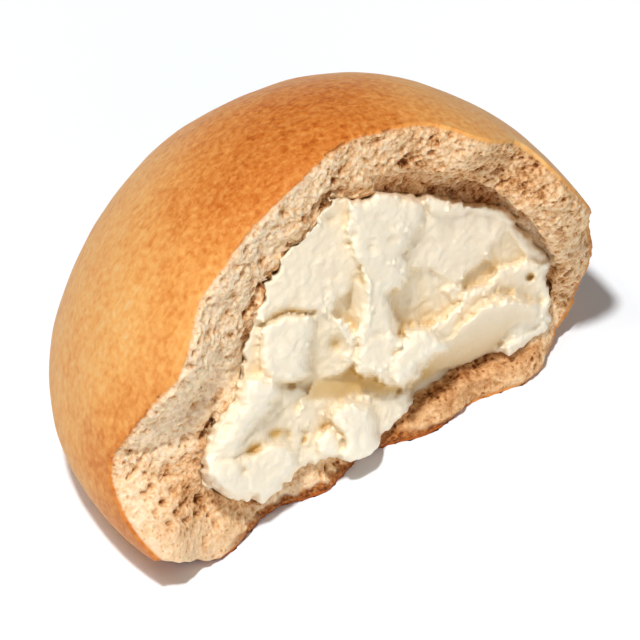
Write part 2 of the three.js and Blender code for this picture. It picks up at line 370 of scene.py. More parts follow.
flakes = [
    {"name": "leftBacking", "y": -1.0, "across": -0.05, "up": 0.05, "fall": 1.5, "swell": 0.2,
     "outline": [
        (-10, 12.4), (-8.2, 12.4), (-7.6, 9), (-8, 6.4), (-11, 6), (-10.6, 8), (-10.4, 10)]},
    {"name": "slab", "y": -1.1, "across": -0.10, "up": 0.14, "fall": 1.8, "swell": 0.3, "outline": [
        (-1.2, 24.3), (0.2, 24.2), (0.4, 22.2), (0, 20.6), (0.6, 19.6), (1.2, 18), (0.7, 16.4), (0, 15.4),
        (-1.2, 14.6), (-1.8, 13.6), (-4, 13.3), (-6, 13.4), (-7.4, 12.9), (-8.4, 12.3), (-9.4, 12.6),
        (-8.4, 15), (-6.6, 18.4), (-5, 20.1), (-3, 22.4), (-1.8, 23.8)]},
    {"name": "columnTop", "y": -2.0, "up": 0.12, "fall": 1.3, "swell": 0.4, "outline": [
        (0.1, 24.1), (1.8, 23.8), (3, 25), (4.8, 24.9), (5.3, 24.4), (7.2, 24.3), (7.6, 23), (7.2, 21.8),
        (6.2, 20.8), (5.9, 20.2), (5.4, 19.3), (5.2, 18), (1, 18), (0, 20.6)]},
    {"name": "column", "y": -2.4, "up": 0.06, "fall": 2.0, "swell": 0.6, "outline": [
        (0.6, 19.8), (5.4, 19.3), (5.7, 18), (5.6, 16.8), (5.2, 15.9), (4.2, 15.4), (3.9, 14.8),
        (4.1, 13.6), (4.4, 12.4), (5, 11.2), (5.2, 8.4), (4.4, 6.5), (3.2, 6.8), (1.4, 7), (0.8, 7.8),
        (0.7, 9), (0.9, 10.6), (1.1, 12), (1.4, 14), (1.6, 15.6), (1.4, 16.8), (1.1, 18)]},
    {"name": "shelf", "y": -1.25, "across": -0.16, "up": 0.03, "paintedShade": 0.05, "strands": 0.22, "fall": 1.2,
     "outline": [
        (4, 15.6), (5.8, 16), (6.4, 17.8), (8.4, 17.6), (9.8, 16.8), (11.6, 16), (11.8, 14.4), (10.6, 13),
        (9, 11.8), (8, 11), (6, 9.8), (4.4, 10.2), (3.8, 13.4)]},
    {"name": "plate", "y": -1.55, "across": -0.03, "up": 0.07, "jag": 0.8, "fall": 1.6, "swell": 0.2,
     "outline": [
        (8.4, 23.4), (11.8, 23.6), (14, 23.4), (15.8, 22.9), (16.1, 22.3), (15.9, 21.6), (15.2, 20.6),
        (14.4, 19.9), (14.1, 19.2), (14.2, 18.6), (13, 18.1), (12, 17.4), (11.6, 16.6), (11, 16.2),
        (9.6, 16.7), (8.4, 17.4), (7.4, 17.6), (6, 17.9), (5.0, 19.2), (5.4, 21), (7.6, 22.6)]},
    {"name": "topRidge", "y": -1.7, "up": 0.1, "fall": 1.2, "swell": 0.25, "outline": [
        (7.4, 24.5), (10, 24.4), (12, 24), (14.3, 23.8), (15.9, 23.3), (16.2, 22.3), (15.2, 22.9),
        (13.8, 23.1), (12, 23.4), (10, 22.9), (8.4, 23.1)]},
    {"name": "notch", "y": -1.45, "paintedShade": 0.25, "strands": 0.15, "fall": 1.2, "outline": [
        (14, 18.6), (14.3, 20), (15.4, 20.8), (16.2, 21.6), (17, 20.8), (18.2, 19.2), (18.6, 18.4),
        (16.8, 18), (15.4, 17.4), (14.6, 18)]},
    {"name": "notchRim", "y": -1.95, "across": -0.1, "jag": 0.6, "fall": 1.4, "swell": 0.2, "outline": [
        (16.4, 22.4), (17.1, 21.5), (18.2, 20.5), (19.2, 19.5), (20, 18.9), (19.2, 18.3), (18.2, 18.9),
        (17.3, 19.8), (16.5, 20.8), (15.9, 21.5)]},
    {"name": "underPlate", "y": -1.1, "up": 0.1, "paintedShade": 0.12, "fall": 1.2, "swell": 0.1, "outline": [
        (11.4, 16.6), (12.2, 17.4), (13.2, 18), (14.3, 18.5), (15.2, 17.8), (14.4, 16.6), (13.4, 15.8),
        (12.4, 15.5), (11.5, 15.5)]},
    {"name": "peak", "y": -2.2, "fall": 1.6, "swell": 0.1, "outline": [
        (9.8, 15.5), (10.4, 15.8), (11.5, 15.6), (11.2, 14.6), (10.8, 14.2), (10.4, 14.7)]},
    {"name": "ledgeRight", "y": -2.4, "across": -0.05, "up": -0.05, "strands": 0.1, "paintedShade": 0.08,
     "fall": 1.8, "swell": 0.3, "outline": [
        (14.2, 13.8), (16.4, 13.8), (18.2, 14.2), (19.6, 14.2), (20.6, 14.6), (20.2, 15.6), (20.1, 17.2),
        (20.3, 18.2), (19.4, 18.5), (18, 18.4), (16.6, 17.8), (15.4, 17.6), (14.4, 16.5), (13.4, 15.4)]},
    {"name": "ledgeLeft", "y": -2.8, "across": 0.05, "up": -0.1, "paintedShade": 0.1, "fall": 1.8, "swell": 0.3,
     "outline": [
        (8.4, 8.9), (9.7, 9.8), (11.4, 11.5), (13.3, 13.1), (14.8, 13.9), (14.8, 16.2), (13, 15.6),
        (11.9, 15.2), (11.5, 14.1), (10.4, 13), (9.2, 12.2), (8, 11.2)]},
    {"name": "slope", "y": -2.1, "across": 0.12, "up": -0.65, "paintedShade": 0.36, "strands": 0.05, "fall": 1.2,
     "swell": 0.1, "outline": [
        (2.4, 4.4), (4, 4.4), (5.6, 5), (7, 6), (8.6, 7), (9.6, 7.6), (11.6, 8), (13.2, 8.7), (15.6, 9.6),
        (17.4, 10.8), (18.8, 12.2), (19, 13.6), (16.8, 14.2), (15, 14), (13.3, 13.2), (11.4, 11.6),
        (9.7, 9.9), (8.2, 8.7), (6.8, 7.3), (5.2, 6.2), (4, 5.7), (2.6, 5.3)]},
    {"name": "rightToe", "y": -3.3, "across": 0.1, "up": -0.05, "strands": 0.25, "fall": 1.4,
     "swell": 0.2, "outline": [
        (15.7, 9.8), (16.4, 9.3), (17.6, 9.8), (18.7, 10.6), (19.9, 11.6), (20.3, 12.8), (20.1, 13.9),
        (18.6, 14.2), (17.4, 13), (16.8, 11.8), (16, 10.6)]},
    {"name": "toeRim", "y": -3.6, "across": 0.12, "up": 0.05, "fall": 1.6, "swell": 0.3, "outline": [
        (15.5, 9.7), (16.4, 9.2), (17.5, 9.8), (18.7, 10.6), (19.9, 11.6), (20.3, 12.6), (19.8, 12.8),
        (19.2, 11.9), (18.2, 11.2), (17, 10.5), (16.3, 10.1)]},
    {"name": "columnFoot", "y": -3.1, "across": -0.05, "up": 0.12, "fall": 1.8, "swell": 0.6, "outline": [
        (1, 7.2), (3.2, 6.8), (4.6, 6.2), (5.4, 6.2), (6.2, 8), (5.6, 10.4), (4.2, 11.6), (1.2, 11),
        (0.8, 9)]},
    {"name": "footLump", "y": -3.7, "across": -0.1, "up": 0.2, "paintedShade": 0.08, "fall": 1.8, "swell": 0.6,
     "outline": [
        (5.2, 6.1), (6.2, 6.8), (7.1, 7.9), (8.3, 8.8), (9.8, 9.9), (9.2, 10.8), (8.3, 11.4), (7.1, 11.7),
        (5.9, 11.1), (5.3, 10), (4.4, 9), (4.2, 7.6), (4.4, 6.5)]},
    {"name": "dish", "y": -1.75, "across": -0.2, "paintedShade": 0.1, "jag": 0.5, "fall": 1.6, "outline": [
        (-3.8, 13.1), (-1.9, 13.5), (-1.2, 12.5), (-0.2, 11.9), (0.5, 10.8), (0.9, 9.6), (0.5, 8.3),
        (-0.8, 7.2), (-2.4, 6.6), (-3.2, 5.4), (-4.4, 4.4), (-5.6, 5.4), (-4.8, 7), (-4.4, 8.4),
        (-4.2, 10.4)]},
    {"name": "dishRim", "y": -2.4, "fall": 1.6, "swell": 0.25, "outline": [
        (-1.2, 12.5), (-0.2, 11.9), (0.5, 10.8), (0.9, 9.6), (0.6, 8.4), (-0.4, 7.6), (-0.3, 8.6),
        (-0.1, 9.6), (-0.4, 10.6), (-0.9, 11.5)]},
    {"name": "leftLump", "y": -2.15, "across": -0.12, "up": 0.1, "jag": 0.6, "fall": 1.7, "swell": 0.7,
     "outline": [
        (-8.4, 11.9), (-7, 12.7), (-5.6, 13), (-3.5, 12.8), (-3.3, 11.6), (-3.9, 10.2), (-4.1, 8.4),
        (-4.2, 7.2), (-5.6, 6.3), (-7.4, 6.2), (-8.5, 7.2), (-8.8, 9), (-8.7, 10.6)]},
    {"name": "hollowSlope", "y": -2.75, "across": 0.05, "up": 0.2, "strands": 0.12, "paintedShade": 0.08,
     "fall": 1.2, "outline": [
        (-7.2, 6), (-5, 5.8), (-4, 5.2), (-3.6, 3.2), (-4.6, 1.2), (-6.4, -0.2), (-8, -0.6), (-9.8, -1.4),
        (-10.6, -0.6), (-9.6, 2), (-8.4, 3.8)]},
    {"name": "lowStrip", "y": -2.7, "up": 0.1, "fall": 1.4, "swell": 0.1, "outline": [
        (-4.6, 4.3), (-2, 4.5), (0, 4.7), (1.6, 5), (2.6, 4.4), (1, 3), (-1.4, 2.2), (-2.6, 1), (-3.6, 1),
        (-4.6, 1.8), (-5.2, 3.2)]},
    {"name": "rightOfToe", "y": -2.7, "across": -0.05, "up": 0.25, "fall": 1.6, "swell": 0.2, "outline": [
        (1.6, 4.4), (3.2, 4.8), (4.4, 4.9), (5.8, 5.1), (6.3, 4.2), (6.1, 3), (5.1, 2.6), (4.1, 1.3),
        (3.4, 1), (2.4, 1)]},
    {"name": "leftFlank", "y": -2.9, "across": -0.12, "up": 0.12, "jag": 0.6, "fall": 1.2, "swell": 0.8,
     "outline": [
        (-10.9, 6.4), (-9, 6.8), (-7.2, 6.3), (-6.9, 5.2), (-8, 3.6), (-9.4, 2), (-10.2, 0.4),
        (-10.6, -0.8), (-12, -2.4), (-13.4, -3.6), (-14.8, -1.8), (-14.6, 0.2), (-13.4, 2.2), (-12, 4.2)]},
    {"name": "bridge", "y": -3.05, "up": 0.1, "fall": 1.6, "swell": 0.2, "outline": [
        (-5.6, 0.4), (-4.4, 1.2), (-3.4, 1.6), (-2.6, 0.8), (-2.6, -0.6), (-2.8, -1.1), (-3.6, -1.6),
        (-4.9, -2), (-5.6, -1)]},
    {"name": "leftToe", "y": -3.55, "up": 0.06, "jag": 0.6, "fall": 0.45, "swell": 0.9, "outline": [
        (-14.4, -0.9), (-13.2, -0.6), (-11.6, -1.2), (-10.2, -1), (-9, -0.2), (-7.4, 0.3), (-6.2, 0.1),
        (-5.2, -0.6), (-5, -2), (-5.6, -3), (-7, -4.2), (-8.4, -5.5), (-9, -5.1), (-10.7, -5.1),
        (-11.9, -4.9), (-12.6, -4.5), (-13.2, -3.9), (-13.9, -2.8), (-14.2, -1.9)]},
    {"name": "middleToe", "y": -4.3, "across": -0.05, "up": 0.12, "jag": 0.5, "fall": 1.8, "swell": 0.9,
     "outline": [
        (-1, 1.4), (-1.6, 2.6), (-1.3, 3.6), (-0.2, 4.2), (1.2, 4.1), (2.3, 3.5), (2.7, 2.4), (2.8, 1.4),
        (3.1, 0.4), (3.1, -0.2), (2.6, -0.9), (1.4, -1.5), (0, -1.6), (-0.7, -1.2), (-0.4, 0), (-0.6, 1)]},
    {"name": "smallToe", "y": -3.9, "across": -0.05, "up": 0.1, "jag": 0.6, "fall": 1.8, "swell": 0.7,
     "outline": [
        (-1.2, 1.6), (-2.2, 1.4), (-3, 0.6), (-3, -0.6), (-2.8, -1.1), (-1.2, -1), (-0.7, -1.2), (-0.6, 0),
        (-0.8, 1)]},
    {"name": "cave", "y": -1.75, "up": 0.4, "fall": 2.6, "paintedShade": 0.5, "outline": [
        (-5, 4.2), (-3.4, 6.2), (-2.6, 7.2), (-1.2, 7.9), (0.2, 9), (1.2, 8.6), (1.6, 7.6), (2.8, 7.3),
        (4.2, 7), (5.4, 6.2), (5, 5), (3, 4.2), (0, 3.6), (-2.6, 3.6), (-4.2, 3.6)]},
    {"name": "hollow", "y": -1.2, "across": -1.1, "jag": 0.5, "fall": 2.6, "paintedShade": 0.12, "outline": [
        (1.6, 17.6), (0.6, 17.4), (-0.4, 16), (-1.8, 15), (-2.4, 13.7), (-1.8, 12), (-0.8, 11.2),
        (0.2, 10.2), (1.4, 9.8), (2.2, 12), (2.2, 14), (2.2, 16)]},
]
cheesePits = [  # u, v, radius, depth
    (-1.4, 10.1, 0.75, 0.6), (-9.3, -0.6, 0.75, 0.4), (-2.4, 1.7, 0.45, 0.55), (-0.6, 3.9, 0.35, 0.5),
    (0.5, 20.9, 0.5, 0.45), (2.2, 19.7, 0.3, 0.35), (4.7, 9.1, 0.4, 0.4), (18.4, 16.8, 0.42, 1.3),
    (-10.4, -2.6, 0.5, 0.3), (4.3, 20.5, 0.45, 0.25), (-7.4, 1.0, 0.7, 0.35), (-6.1, 0.8, 0.5, 0.3),
    (-1.9, 22.4, 0.5, 0.35), (7.0, 21.6, 0.4, 0.3), (-11.0, 5.4, 0.5, 0.35), (-4.4, 0.4, 0.3, 0.4),
]
cheeseCracks = [  # width, depth, line
    (0.18, 0.36, [(-9.2, 11.8), (-7.9, 12.1), (-7, 12.8), (-6, 13.3), (-5, 13), (-3.4, 13.2)]),
    (0.2, 0.5, [(-1.1, 1.5), (-0.7, 1.1), (-0.4, 0.4), (-0.4, -0.3)]),
    (0.22, 0.4, [(-4.6, 0), (-4.4, 0.6), (-4.2, 1.2)]),
    (0.2, 0.35, [(1.1, 17.9), (1, 17), (1.4, 16)]),
    (0.3, 0.14, [(-7.7, 1.0), (-6.9, 1.3), (-6.1, 1.3)]),
    (0.35, 0.25, [(-10.0, -0.8), (-9.5, -0.5), (-9.0, -0.4)]),
    (0.25, 0.16, [(-11.1, -1.6), (-10.7, -2.0), (-10.4, -2.5)]),
]


def blurred(grid, spread):
    reach = int(3 * spread)
    kernel = np.exp(-0.5 * (np.arange(-reach, reach + 1) / spread) ** 2)
    kernel /= kernel.sum()
    for axis in (0, 1):
        padded = np.pad(grid, [(reach, reach) if i == axis else (0, 0) for i in (0, 1)], "edge")
        grid = np.apply_along_axis(lambda row: np.convolve(row, kernel, "valid"), axis, padded)
    return grid


# Curd breaks in small flat faces, each tilted its own way.
def facets(flat):
    made = []
    for p in (flat / cheese["facet"] + 50).tolist():
        middle = noise.voronoi(p)[1][0]
        lean = Vector([noise.noise(middle * 7.3 + Vector((shift, 0, 0)), noise_basis="PERLIN_ORIGINAL")
                       for shift in (0.4, 17.6, 41.3)])
        made.append((Vector(p) - middle).dot(lean))
    return cheese["tilt"] * cheese["facet"] * np.array(made)


def cheeseRelief(u, v):
    flat = np.stack([u, v, np.zeros_like(u)], -1)
    ragged = cheese["jag"] * (bumps(flat, 1.3) + 0.8 * bumps(flat, 0.6, 9.0) + 0.45 * bumps(flat, 0.32, 11.0))
    strands = bumps(np.stack([u + 0.2 * v, 0.13 * v, np.zeros_like(u)], -1), 0.55, 15.0)
    # The second running value is how much darker and yellower each point is painted: painted shade.
    y, paintedShade = np.full(u.shape, cheese["deepest"]), np.zeros(u.shape)
    for flake in flakes:
        outline = flake["outline"]
        middleU, middleV = np.mean(outline, 0)
        level = flake["y"] + flake.get("across", 0) * (u - middleU) + flake.get("up", 0) * (v - middleV)
        apart = outlineDistance(u, v, outline) + flake.get("jag", 1) * ragged
        level -= flake.get("swell", 0) * (1 - np.clip(1 + apart / cheese["round"], 0, 1) ** 2)
        level += flake["fall"] * cheese["steep"] * np.maximum(apart, 0) + flake.get("strands", 0) * strands
        share = np.clip(0.5 + 0.5 * (y - level) / cheese["melt"], 0, 1)
        y = y * (1 - share) + level * share - cheese["melt"] * share * (1 - share)
        paintedShade = paintedShade * (1 - share) + (flake.get("paintedShade", 0) + 1.2 * flake.get("strands", 0) * strands) * share
    # Pits and cracks are dug into the relief and are also painted darker and yellower, as painted shade.
    for pitU, pitV, radius, depth in cheesePits:
        pit = nearSpot(u, v, pitU, pitV, radius)
        y += depth * pit
        paintedShade += 0.7 * min(depth, 1) * pit
    for width, depth, line in cheeseCracks:
        crack = nearLine(u, v, line, width, 0.3 * ragged)
        y += depth * crack
        paintedShade += 0.5 * crack
    broken = 1 - 0.8 * smoothStep(paintedShade, 0.2, 0.35)
    creases = 0.07 * (1 - 3 * np.abs(bumps(flat, 1.2, 7.0)))
    y += 0.15 * bumps(flat, 2.4, 4.0) + broken * (creases + facets(flat))

    # Down the left side the filling is tucked against the crumb, so it starts low there.
    edge = outlineDistance(u, v, cheese["outline"])
    slopeU = outlineDistance(u + 0.3, v, cheese["outline"]) - edge
    slopeV = outlineDistance(u, v + 0.3, cheese["outline"]) - edge
    backwards = smoothStep((slopeU * boardRight.y + slopeV * boardUp.y) / 0.3, 0.0, 0.35)
    tucked = cheese["tuckAt"] + 0.3 * bumps(flat, 1.9, 14.0)
    tucked -= cheese["tuck"] * np.sqrt(np.maximum(-edge - ragged, 0))
    y += backwards * smoothStep(-u, 6, 9) * smoothStep(v, -3, 0.5) * np.maximum(tucked - y, 0)
    return y, edge + 1.2 * ragged, paintedShade, backwards


# Small curds that broke off lie along the flakes' edges.
def addCurds(bm):
    lot = np.random.default_rng(7)
    starts = np.concatenate([flake["outline"] for flake in flakes])
    ends = np.concatenate([np.roll(flake["outline"], -1, 0) for flake in flakes])
    picked = lot.integers(0, len(starts), cheese["curds"])
    along = lot.random((cheese["curds"], 1))
    spots = starts[picked] * (1 - along) + ends[picked] * along
    spots += lot.normal(0, cheese["curdSpread"], (cheese["curds"], 2))
    y, edge, paintedShade, _ = cheeseRelief(*spots.T)
    small, large = cheese["curdSizes"]
    for (u, v), level, apart, paintedShadeHere in zip(spots, y, edge, paintedShade):
        radius = small + (large - small) * lot.random() ** 2.5
        turned = Matrix.Rotation(lot.random() * 6.28, 4, lot.normal(size=3))
        stretched = Matrix.Diagonal((*lot.uniform(0.6, 1.3, 3), 1))
        if apart < -0.3 and paintedShadeHere < 0.2:
            place = Matrix.Translation(Vector(offBoard(u, v, level - 0.25 * radius)))
            bmesh.ops.create_icosphere(bm, subdivisions=1, radius=radius, matrix=place @ turned @ stretched)
    for u, v, radius in cheese["beads"]:
        level = cheeseRelief(np.array([u]), np.array([v]))[0][0]
        place = Matrix.Translation(Vector(offBoard(u, v, level - 0.3 * radius)))
        bmesh.ops.create_icosphere(bm, subdivisions=2, radius=radius, matrix=place)


def buildCheese():
    outline = np.array(cheese["outline"])
    low, high = outline.min(0) - 2, outline.max(0) + 2
    counts = np.ceil((high - low) / cheese["step"]).astype(int)
    bm = bmesh.new()
    bmesh.ops.create_grid(bm, x_segments=int(counts[0]), y_segments=int(counts[1]), size=0.5)
    bm.verts.ensure_lookup_table()
    flat = np.array([vertex.co[:] for vertex in bm.verts])
    u = low[0] + (flat[:, 0] + 0.5) * (high - low)[0]
    v = low[1] + (flat[:, 1] + 0.5) * (high - low)[1]
    y, edge, _, backwards = cheeseRelief(u, v)
    places = offBoard(u, v, y)
    fall = cheese["edgeFall"] * np.maximum(edge - cheese["reach"] * (1 - 0.9 * backwards), 0)
    sideways = cheese["undercut"] * backwards * fall
    places += np.stack([sideways * boardOut.x / boardOut.y, fall, sideways * boardOut.z / boardOut.y], -1)
    places[:, 2] = np.maximum(places[:, 2], cheese["lowest"])
    for vertex, place in zip(bm.verts, places):
        vertex.co = place
    outside = [vertex for vertex, far in zip(bm.verts, edge > cheese["margin"]) if far]
    bmesh.ops.delete(bm, geom=outside, context="VERTS")
    rim = [edge for edge in bm.edges if edge.is_boundary]
    walls = bmesh.ops.extrude_edge_only(bm, edges=rim)["geom"]
    core = Vector(cheese["core"])
    for vertex in (item for item in walls if isinstance(item, bmesh.types.BMVert)):
        vertex.co = core + (vertex.co - core) * cheese["taper"]
        vertex.co.y = cheese["back"]
    bmesh.ops.holes_fill(bm, edges=[edge for edge in bm.edges if edge.is_boundary], sides=0)
    bmesh.ops.recalc_face_normals(bm, faces=bm.faces)
    rear = workCopy("cream_cheese")
    bmesh.ops.bisect_plane(rear, geom=rear.verts[:] + rear.edges[:] + rear.faces[:], dist=1e-5,
                           plane_co=(0, cheese["behind"], 0), plane_no=(0, -1, 0), clear_outer=True)
    bmesh.ops.holes_fill(rear, edges=[edge for edge in rear.edges if edge.is_boundary], sides=0)
    bmesh.ops.recalc_face_normals(rear, faces=rear.faces)
    rearMesh = asMesh(rear, "rear")
    bm.from_mesh(rearMesh)
    bpy.data.meshes.remove(rearMesh)
    addCurds(bm)
    mesh = remeshed(asMesh(bm, "cheese"), cheese["voxel"])
    y, facing = points(mesh)[:, 1], normals(mesh)[:, 1]
    wall = (y > cheese["wallFrom"]) & (y < cheese["wallTo"]) & (facing > -0.15)
    mesh = thinned(mesh, wall, cheese["wallShare"])
    mesh = thinned(mesh, points(mesh)[:, 1] > cheese["wallTo"], cheese["rearShare"])
    mesh = closed(thinned(mesh, np.full(len(mesh.vertices), True), cheese["vertices"] / len(mesh.vertices)))

    # Behind the tear the filling keeps its cover of bread. The front gets a fine curd.
    places = points(mesh)
    front = smoothStep(-places[:, 1], -3.0, -1.5)
    depth, outward = underSkin(places)
    short = np.maximum(cheese["cover"] - depth, 0) * smoothStep(places[:, 1], -2.5, -0.5)
    setPoints(mesh, places - outward * short[:, None])
    places = points(mesh)
    coarse, fine = cheese["grain"]
    curd = coarse * bumps(places, 0.8, 3.0) + fine * bumps(places, 0.35, 5.0)
    setPoints(mesh, places + normals(mesh) * (curd * front)[:, None])

    # How deep in a hollow each point lies, and how much painted shade its flake has, give it a darker,
    # yellower colour: painted shade.
    gridU = np.arange(low[0], high[0], cheese["toneStep"])
    gridV = np.arange(low[1], high[1], cheese["toneStep"])
    meshU, meshV = np.meshgrid(gridU, gridV)
    relief = cheeseRelief(meshU.ravel(), meshV.ravel())
    depth, paintedShade = relief[0].reshape(meshU.shape), relief[2].reshape(meshU.shape)
    depth = np.clip(depth, -6, 4)
    hollow = 0.2 * (depth - blurred(depth, 8)) + 0.28 * (depth - blurred(depth, 2.5)) + blurred(paintedShade, 1.0)
    placesU, placesV = ontoBoard(places)
    column = np.clip(((placesU - low[0]) / cheese["toneStep"]).astype(int), 0, len(gridU) - 1)
    row = np.clip(((placesV - low[1]) / cheese["toneStep"]).astype(int), 0, len(gridV) - 1)
    setAttribute(mesh, "hollow", np.clip(hollow[row, column], -1, 1))
    return mesh


# Cream cheese: soft fresh cheese, broken and smeared. Light goes a millimetre or two in, so edges glow and
# hollows turn warm; the fat gives it a low, broad gloss. Its hollows, pits and cracks are also painted
# darker and yellower: painted shade.
cheeseMaterial, tree, shader = newMaterial("fresh cream cheese")
hollowShadeFactor = addNode(tree, "ShaderNodeAttribute", attribute_name="hollow").outputs["Fac"]
where = addNode(tree, "ShaderNodeTexCoord").outputs["Object"]
# The hollow value paints deeper places darker and yellower, as painted shade; the cloud noise adds a random
# tone.
tone = addNode(tree, "ShaderNodeMapRange", {"Value": hollowShadeFactor, "From Min": -0.4, "From Max": 0.8})
cloud = addNode(tree, "ShaderNodeTexNoise", {"Vector": where, "Scale": 1 / (3 * mm), "Detail": 3.0})
mixed = addNode(tree, "ShaderNodeMath", {0: cloud.outputs["Fac"], 1: 0.16, 2: tone.outputs[0]},
                operation="MULTIPLY_ADD")
tint = addNode(tree, "ShaderNodeValToRGB", {"Fac": mixed.outputs[0]}, stops=[
    (0.0, "#fcf0da"), (0.35, "#f8e9cf"), (0.64, "#ead7b5"), (1.0, "#d2a95e")])
tree.links.new(tint.outputs["Color"], shader.inputs["Base Color"])
shader.inputs["Roughness"].default_value = 0.42
shader.inputs["IOR"].default_value = 1.45
shader.inputs["Subsurface Weight"].default_value = 0.34
shader.inputs["Subsurface Radius"].default_value = (1.0, 0.85, 0.6)
shader.inputs["Subsurface Scale"].default_value = 0.8 * mm
grain = addNode(tree, "ShaderNodeTexNoise", {"Vector": where, "Scale": 1 / (0.35 * mm), "Detail": 3.0})
bump = addNode(tree, "ShaderNodeBump", {"Height": grain.outputs["Fac"], "Strength": 0.25,
                                        "Distance": 0.1 * mm})
tree.links.new(bump.outputs[0], shader.inputs["Normal"])

cheeseMesh = buildCheese()
cheeseTree = BVHTree.FromPolygons([v.co for v in cheeseMesh.vertices],
                                  [p.vertices for p in cheeseMesh.polygons])
print("cream cheese:", len(cheeseMesh.polygons), "faces")


# The bread's dome, crumb and bottom layer. Sizes are in millimetres, and the lines lie on the board.
bread = {
    "voxel": 0.46, "skinSnap": 0.36, "backShare": 0.35, "bedShare": 0.12, "bedGap": 0.3,
    "rise": 0.22, "lumps": 0.4, "swells": 0.24, "folds": 0.12, "threads": 0.08, "grain": 0.05,
    "holes": [(2.6, 0.6, 0.3), (0.95, 0.32, 0.7), (0.5, 0.12, 1.0)],  # spacing, depth, share that are open
    "dents": (0.22, 0.06),  # of the crust
    "calmLine": [(1, 0), (6, 2), (12, 5.4), (18, 9)],  # along the bottom layer the crumb is pressed smooth
    "livelyLine": [(-18.5, 0.5), (-15.5, 4), (-13, 8), (-9, 15)],  # and up the left side it is rougher
    "rightRim": [(16, 24), (18.4, 21.6), (20.6, 19)], "rimRise": 0.9,
    "toeEnd": -11.4, "lip": 1.4,
}
crumbCracks = [  # width, depth, line
    (0.28, 0.6, [(-10.3, 10.4), (-9.5, 13), (-8.9, 15), (-7.7, 16.7), (-6.3, 18.6), (-5.3, 19.8),
                 (-4.1, 21.6), (-3, 22.9), (-1.7, 24.2)]),
    (0.25, 0.5, [(-3.2, 23.4), (-2.2, 24.6), (-1, 25.2)]),
    (0.3, 0.8, [(16, 23.8), (16.4, 22), (17.6, 20.6), (18.6, 19.7), (19.5, 18.8), (20.6, 18.9)]),
    (0.3, 0.8, [(20.5, 17.8), (20.2, 16), (20.5, 14)]),
    (0.3, 0.8, [(-14.4, 0.8), (-13.4, 2.8)]),
    (0.25, 0.6, [(-14.8, -2), (-13.6, -4), (-12, -5), (-10.8, -5.6), (-9, -5.6)]),
    (0.2, 0.5, [(-19.9, -0.3), (-20.7, -1.3), (-21.4, -2.3), (-21.9, -3.1)]),
    (0.24, 0.5, [(-20, -4.6), (-19.2, -3.8), (-18.4, -3.2), (-17.6, -2.9)]),
    (0.2, 0.35, [(-14.5, -7.6), (-14.3, -8.8), (-14.5, -10.2)]),
]
crumbPits = [  # u, v, radius, depth
    (-15.0, -5.3, 0.48, 0.97), (-15.2, -6.75, 0.39, 0.65), (-16.3, -7.4, 0.37, 0.65),
    (-17.9, -7.7, 0.34, 0.65), (-20.4, -4.6, 0.34, 0.65), (-19.6, -4.0, 0.34, 0.65),
    (-17.4, -4.5, 0.37, 0.54), (-18.4, -5.6, 0.39, 0.76), (-16.6, -5.9, 0.34, 0.65),
    (-14.6, -6.2, 0.32, 0.54), (-15.9, -4.2, 0.3, 0.54), (-19.2, -6.6, 0.3, 0.54),
    (-17.1, -6.6, 0.28, 0.54), (-14.0, -7.0, 0.28, 0.43), (-20.2, -2.6, 0.3, 0.54),
]
# Lines along which the crumb is painted browner: mostly painted shade in recesses, creases and under the
# filling and its toes, partly a browner crumb. The one amount below zero paints light onto a band that faces
# away from the lamps.
crumbBrownAndShade = [  # width, how brown, line
    (1.5, 0.3, [(-0.5, 25.6), (3, 26.3), (7, 26.7), (11, 26.2), (14, 25.2)]),
    (0.9, 0.35, [(-9.8, 12), (-8.6, 15.2), (-6.4, 18.4), (-4, 21.8), (-2, 24)]),
    (1.3, 0.5, [(-15.6, -5), (-13.6, -5.4), (-10.6, -6.2)]),
    (0.8, 0.5, [(6.2, 3.4), (8, 5), (10.4, 6.8), (12.6, 8.0), (15, 9.2)]),
    (1.0, 0.4, [(-5.6, -3.6), (-3.6, -2.4), (-1.4, -2.2), (2.6, -1.6), (4.6, 1)]),
    (4.0, 0.6, [(-17, -4), (-16, -8), (-12, -10)]),
    (2.6, 0.8, [(1, 0), (6, 2), (12, 5.4), (17, 8.6)]),
    (4.0, 0.45, [(2, 30), (10, 30), (17, 27.5)]),
    (3.6, 0.5, [(17, 26.5), (20.5, 24), (22.5, 20), (22, 16)]),
    (2.2, -0.45, [(-18.5, 0.5), (-15.5, 4), (-13, 8)]),
]


# What lies close to the whole bun's skin is put right on it.
def snapped(places):
    for _ in range(2):
        depth, outward = underSkin(places)
        onSkin = np.abs(depth) < bread["skinSnap"]
        places[onSkin] += (outward * depth[:, None])[onSkin]
    return places


